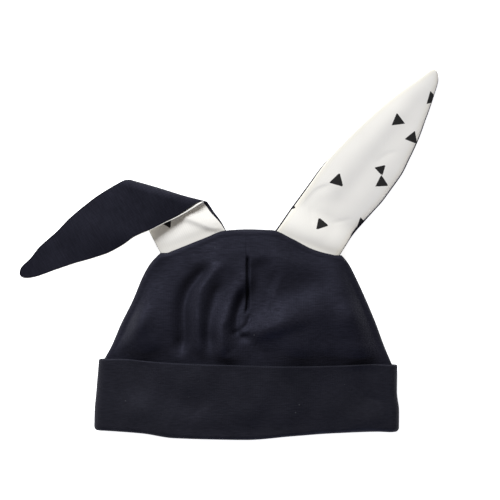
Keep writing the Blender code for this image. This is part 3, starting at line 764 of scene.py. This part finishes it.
def ring_faces(section, around):
    """Faces of a ring of closed sections."""
    j = np.repeat(np.arange(around), section)
    i = np.tile(np.arange(section), around)
    after_j, after_i = (j + 1) % around, (i + 1) % section
    corners = (j * section + i, after_j * section + i,
               after_j * section + after_i, j * section + after_i)
    return np.stack(corners, axis=1)


def make_piece(name, points, faces, material, flat=None, attributes=None):
    """A mesh object at the origin, with its flat lengths as a UV map in metres."""
    offset = np.array([0.0, -bpy.context.scene.hat_sizes.cuff_height / 2, 0.0])
    mesh = bpy.data.meshes.new(name)
    mesh.from_pydata((points + offset).tolist(), [], faces.tolist())
    if flat is not None:
        corners = np.empty(len(mesh.loops), dtype=np.int32)
        mesh.loops.foreach_get("vertex_index", corners)
        mesh.uv_layers.new(name="cloth").data.foreach_set("uv", flat[corners].ravel())
    for title, values in (attributes or {}).items():
        attribute = mesh.attributes.new(title, "FLOAT", "POINT")
        attribute.data.foreach_set("value", values.astype(np.float32))
    mesh.shade_smooth()
    mesh.materials.append(material)
    mesh.update()
    obj = bpy.data.objects.new(name, mesh)
    bpy.context.scene.collection.objects.link(obj)
    return obj


def add_node(tree, kind, inputs=None, **settings):
    """Add a shader node with its settings, and its inputs as values or as sockets to link."""
    node = tree.nodes.new(kind)
    for name, value in settings.items():
        setattr(node, name, value)
    for name, value in (inputs or {}).items():
        if isinstance(value, bpy.types.NodeSocket):
            tree.links.new(value, node.inputs[name])
        else:
            node.inputs[name].default_value = value
    return node


def new_material(name):
    """A material with an empty node tree, that tree, and its texture coordinates."""
    material = bpy.data.materials.new(name)
    material.use_nodes = True
    tree = material.node_tree
    tree.nodes.clear()
    return material, tree, add_node(tree, "ShaderNodeTexCoord").outputs


def spread(tree, value, low, high, start, end, **settings):
    """Map a value's range from low to high onto the range from start to end."""
    node = add_node(tree, "ShaderNodeMapRange",
                    {"Value": value, "From Min": low, "From Max": high,
                     "To Min": start, "To Max": end}, **settings)
    return node.outputs[0]


def noise(tree, source, scale, detail, roughness=0.5):
    """Soft noise with a number of cells to the metre."""
    node = add_node(tree, "ShaderNodeTexNoise",
                    {"Vector": source, "Scale": scale, "Detail": detail, "Roughness": roughness})
    return node.outputs[0]


def arithmetic(tree, operation, *values):
    """Work out an operation on sockets and numbers."""
    node = add_node(tree, "ShaderNodeMath", dict(enumerate(values)), operation=operation)
    return node.outputs[0]


def scaled(tree, tint, factor):
    """A colour times a factor."""
    node = add_node(tree, "ShaderNodeVectorMath", {0: tint, "Scale": factor}, operation="SCALE")
    return node.outputs[0]


def blend(tree, factor, first, second):
    """A colour between two others."""
    node = add_node(tree, "ShaderNodeMix", {"Factor": factor, "A": first, "B": second},
                    data_type="RGBA")
    return node.outputs["Result"]


def knit_ribs(tree, source, scale, distortion, detail):
    """The height of a knit's ribs, as wavy bands."""
    node = add_node(tree, "ShaderNodeTexWave",
                    {"Vector": source, "Scale": scale, "Distortion": distortion,
                     "Detail": detail}, wave_type="BANDS", bands_direction="X")
    return node.outputs[0]


def cloth_surface(tree, height, strength, distance, inputs):
    """End a material in a surface whose bumps follow a height."""
    bump = add_node(tree, "ShaderNodeBump",
                    {"Height": height, "Strength": strength, "Distance": distance})
    shader = add_node(tree, "ShaderNodeBsdfPrincipled", {**inputs, "Normal": bump.outputs[0]})
    add_node(tree, "ShaderNodeOutputMaterial", {"Surface": shader.outputs[0]})


def jersey(name, tint, streak, mottle, gloss, flat_map):
    """Brushed cotton jersey in a dark colour.

    Combed yarn of uneven dye gives short level streaks and a slow cloudiness. The knit's fine
    ribs and its brushed fibres take away nearly all gloss, and leave a faint pale bloom.
    """
    material, tree, coordinates = new_material(name)
    source = coordinates["UV" if flat_map else "Object"]
    # Yarn streaks about 5 mm long and 0.9 mm high, coarser than the yarn so that they show
    yarn_map = add_node(tree, "ShaderNodeMapping",
                        {"Vector": source, "Scale": (180.0, 1150.0, 1150.0)})
    yarn = noise(tree, yarn_map.outputs[0], 1.0, 3.0, 0.6)
    # Uneven dye, in patches of about 25 mm
    cloud = noise(tree, source, 40.0, 3.0, 0.55)
    streaks = spread(tree, yarn, 0.25, 0.75, 1.0 - streak, 1.0 + streak)
    clouds = spread(tree, cloud, 0.3, 0.7, 1.0 - mottle, 1.0 + mottle)
    both = arithmetic(tree, "MULTIPLY", streaks, clouds)
    # Faint specks of lint, 0.4 to 1 mm across, one in about 15 mm
    lint = add_node(tree, "ShaderNodeTexVoronoi", {"Vector": source, "Scale": 65.0})
    speck = spread(tree, lint.outputs["Distance"], 0.012, 0.035, 0.10, 0.0)
    specked = blend(tree, speck, scaled(tree, tint, both), (0.55, 0.55, 0.56, 1.0))
    # Knit ribs, drawn 1.5 mm apart where the real ones are 0.7 mm, under brushed fibres
    rough = arithmetic(tree, "MULTIPLY_ADD", knit_ribs(tree, source, 210.0, 2.5, 2.0), 0.18, yarn)
    # Where the fibres lie flatter the cloth is a little glossier
    flatness = spread(tree, both, 0.7, 1.3, 0.76, 0.58)
    cloth_surface(tree, rough, 0.6, 0.0003,
                  {"Base Color": specked, "Roughness": flatness, "Specular IOR Level": gloss,
                   "Specular Tint": (0.70, 0.70, 1.0, 1.0)})
    return material


def printed_jersey(name, white, ink):
    """White cotton jersey, printed with scattered soft-black triangles.

    The knit is finer and smoother than the dark cloth's, and pigment ink lies in its surface,
    so the marks are matt, a little worn at their edges, and show the ribs.
    """
    material, tree, coordinates = new_material(name)
    source = coordinates["UV"]
    depth = add_node(tree, "ShaderNodeAttribute", attribute_name="print_depth")
    # The ink's edge wavers by about 0.1 mm with the knit
    waver = arithmetic(tree, "MULTIPLY_ADD", noise(tree, source, 1800.0, 2.0), 0.24, -0.12)
    edge = arithmetic(tree, "ADD", depth.outputs["Fac"], waver)
    inked = spread(tree, edge, -0.06, 0.06, 0.0, 1.0)
    shade = spread(tree, noise(tree, source, 60.0, 2.0), 0.3, 0.7, 0.985, 1.01)
    # Painted shade: a band about 4 mm wide along the edge is a little yellower and darker, standing
    # in for the warm shade of the rolled edge
    rim = add_node(tree, "ShaderNodeAttribute", attribute_name="rim_distance")
    painted_edge_shade = spread(tree, rim.outputs["Fac"], 0.5, 4.5, 0.0, 1.0,
                       interpolation_type="SMOOTHSTEP")
    shaded_white = tuple(c * k for c, k in zip(white, (0.985, 0.972, 0.925)))
    white_with_painted_shade = blend(tree, painted_edge_shade, (*shaded_white, 1.0), (*white, 1.0))
    printed = blend(tree, inked, scaled(tree, white_with_painted_shade, shade), (*ink, 1.0))
    cloth_surface(tree, knit_ribs(tree, source, 240.0, 1.0, 1.0), 0.12, 0.0002,
                  {"Base Color": printed, "Roughness": 0.85, "Specular IOR Level": 0.15,
                   "Sheen Weight": 0.1})
    return material


def finish_piece(obj, slot, *nodes):
    """Put a finished piece on the hat's one body, in place of its CAD nodes."""
    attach(obj, "root")
    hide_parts(*nodes)


class HAT_OT_crown(bpy.types.Operator):
    """Sew the two panels of the crown"""

    bl_idname = "hat.crown"
    bl_label = "Crown"

    def execute(self, context):
        form, colours = Form(context.scene.hat_sizes), context.scene.hat_colours
        cloth = jersey("brushed_navy_jersey", colours.crown, streak=0.34, mottle=0.12,
                       gloss=0.12, flat_map=False)
        for name, is_front, columns, rows in (("crown_front", True, 190, 120),
                                              ("crown_back", False, 80, 60)):
            outer, inner, across, up = crown_panel(form, is_front, columns, rows, bend_cells=8)
            faces = slab_faces(across, up, is_front)
            points = np.concatenate((outer, inner))
            obj = make_piece(name + "_cloth", points, faces, cloth)
            finish_piece(obj, "crown_jersey", name)
        return {"FINISHED"}


class HAT_OT_cuff(bpy.types.Operator):
    """Sew the turned-up cuff"""

    bl_idname = "hat.cuff"
    bl_label = "Cuff"

    def execute(self, context):
        form, colours = Form(context.scene.hat_sizes), context.scene.hat_colours
        cloth = jersey("cuff_double_jersey", colours.cuff, streak=0.26, mottle=0.20,
                       gloss=0.12, flat_map=False)
        points, section, around = cuff_ring(form, top_cells=180, under_cells=60,
                                            limb_cells=36, bend_cells=8)
        obj = make_piece("cuff_cloth", points, ring_faces(section, around), cloth)
        finish_piece(obj, "cuff_jersey", "cuff")
        return {"FINISHED"}


class HAT_OT_ears(bpy.types.Operator):
    """Sew both ears, each from a printed front and a dark back"""

    bl_idname = "hat.ears"
    bl_label = "Ears"

    def execute(self, context):
        form, colours = Form(context.scene.hat_sizes), context.scene.hat_colours
        printed = printed_jersey("printed_white_jersey", colours.ear_front, colours.print_ink)
        plain = jersey("ear_back_jersey", colours.ear_back, streak=0.34, mottle=0.22,
                       gloss=0.10, flat_map=True)
        for ear in EARS:
            for is_front in (True, False):
                panel = ear_panel(form, ear, is_front, columns=64, rows=240)
                outer, inner, across, up, flat_across, flat_along, rim = panel
                points = np.concatenate((outer, inner))
                flat = np.tile(np.stack((flat_across, flat_along), axis=1), (2, 1))
                attributes = {"rim_distance": np.tile(rim, 2)}
                if is_front:
                    depth = print_distance(ear, flat_across, flat_along)
                    attributes["print_depth"] = np.tile(depth, 2)
                node = ear.name + ("_front" if is_front else "_back")
                obj = make_piece(node + "_cloth", points, slab_faces(across, up, is_front),
                                 printed if is_front else plain, flat, attributes)
                finish_piece(obj, "printed_jersey" if is_front else "ear_back_jersey", node)
        return {"FINISHED"}


# Round soft lamps: place and width in metres, power in watts
Lamp = namedtuple("Lamp", "name place width power tint")
LAMPS = (
    Lamp("window", (-0.68, 1.66, 1.01), 1.1, 65.0, "#F6F9FF"),
    Lamp("low_window", (0.50, -1.70, 0.42), 0.8, 11.0, "#A8BEFF"),
)


class HAT_OT_stage(bpy.types.Operator):
    """Set up the floor, the light and the camera"""

    bl_idname = "hat.stage"
    bl_label = "Floor, light and camera"

    def execute(self, context):
        scene = context.scene
        scene.view_settings.view_transform = "Standard"
        mesh = bpy.data.meshes.new("floor")
        corners = [(-2.0, -2.0, 0.0), (2.0, -2.0, 0.0), (2.0, 2.0, 0.0), (-2.0, 2.0, 0.0)]
        mesh.from_pydata(corners, [], [(0, 1, 2, 3)])
        material = bpy.data.materials.new("plain_pale_floor")
        material.use_nodes = True
        shader = material.node_tree.nodes["Principled BSDF"]
        shader.inputs["Base Color"].default_value = (*linear("#FAFAFA"), 1.0)
        shader.inputs["Roughness"].default_value = 0.9
        shader.inputs["Emission Color"].default_value = (1.0, 1.0, 1.0, 1.0)
        shader.inputs["Emission Strength"].default_value = 0.85
        mesh.materials.append(material)
        floor = bpy.data.objects.new("floor", mesh)
        floor.location = (0.0, 0.0, -0.0005)
        scene.collection.objects.link(floor)
        world = bpy.data.worlds.new("room_light")
        world.use_nodes = True
        background = world.node_tree.nodes["Background"]
        background.inputs["Color"].default_value = (*linear("#FFF8F0"), 1.0)
        background.inputs["Strength"].default_value = 0.24
        scene.world = world
        middle = Vector((0.0, 0.07, 0.0))
        for lamp in LAMPS:
            data = bpy.data.lights.new(lamp.name, "AREA")
            data.shape = "DISK"
            data.size = lamp.width
            data.energy = lamp.power
            data.color = linear(lamp.tint)
            light = bpy.data.objects.new(lamp.name, data)
            light.location = lamp.place
            light.rotation_euler = (middle - light.location).to_track_quat("-Z", "Y").to_euler()
            scene.collection.objects.link(light)
        # The picture is 0.313 m wide on the floor and is taken from straight above
        distance, seen = 1.6, 0.313
        data = bpy.data.cameras.new("camera")
        data.sensor_width = 36.0
        data.lens = data.sensor_width * distance / seen
        camera = bpy.data.objects.new("camera", data)
        camera.location = (2.35 * MM, 93.25 * MM, distance)
        scene.collection.objects.link(camera)
        scene.camera = camera
        return {"FINISHED"}


class HAT_PT_panel(bpy.types.Panel):
    """Sizes, colours and steps of the hat"""

    bl_label = "Baby hat with ears"
    bl_idname = "HAT_PT_panel"
    bl_space_type = "VIEW_3D"
    bl_region_type = "UI"
    bl_category = "Baby hat"

    def draw(self, context):
        layout = self.layout
        for group in (context.scene.hat_sizes, context.scene.hat_colours):
            box = layout.box()
            for name in group.__annotations__:
                box.prop(group, name)
        for operator in OPERATORS:
            layout.operator(operator.bl_idname)


OPERATORS = (HAT_OT_crown, HAT_OT_cuff, HAT_OT_ears, HAT_OT_stage)
CLASSES = (HatSizes, HatColours, *OPERATORS, HAT_PT_panel)


def register():
    """Register the classes and put the hat's sizes and colours on the scene."""
    for item in CLASSES:
        bpy.utils.register_class(item)
    bpy.types.Scene.hat_sizes = PointerProperty(type=HatSizes)
    bpy.types.Scene.hat_colours = PointerProperty(type=HatColours)


def unregister():
    """Take the sizes, colours and classes away again."""
    del bpy.types.Scene.hat_colours
    del bpy.types.Scene.hat_sizes
    for item in reversed(CLASSES):
        bpy.utils.unregister_class(item)


def main():
    """Make the hat and its stage."""
    register()
    bpy.ops.hat.crown()
    bpy.ops.hat.cuff()
    bpy.ops.hat.ears()
    bpy.ops.hat.stage()


if __name__ == "__main__":
    main()
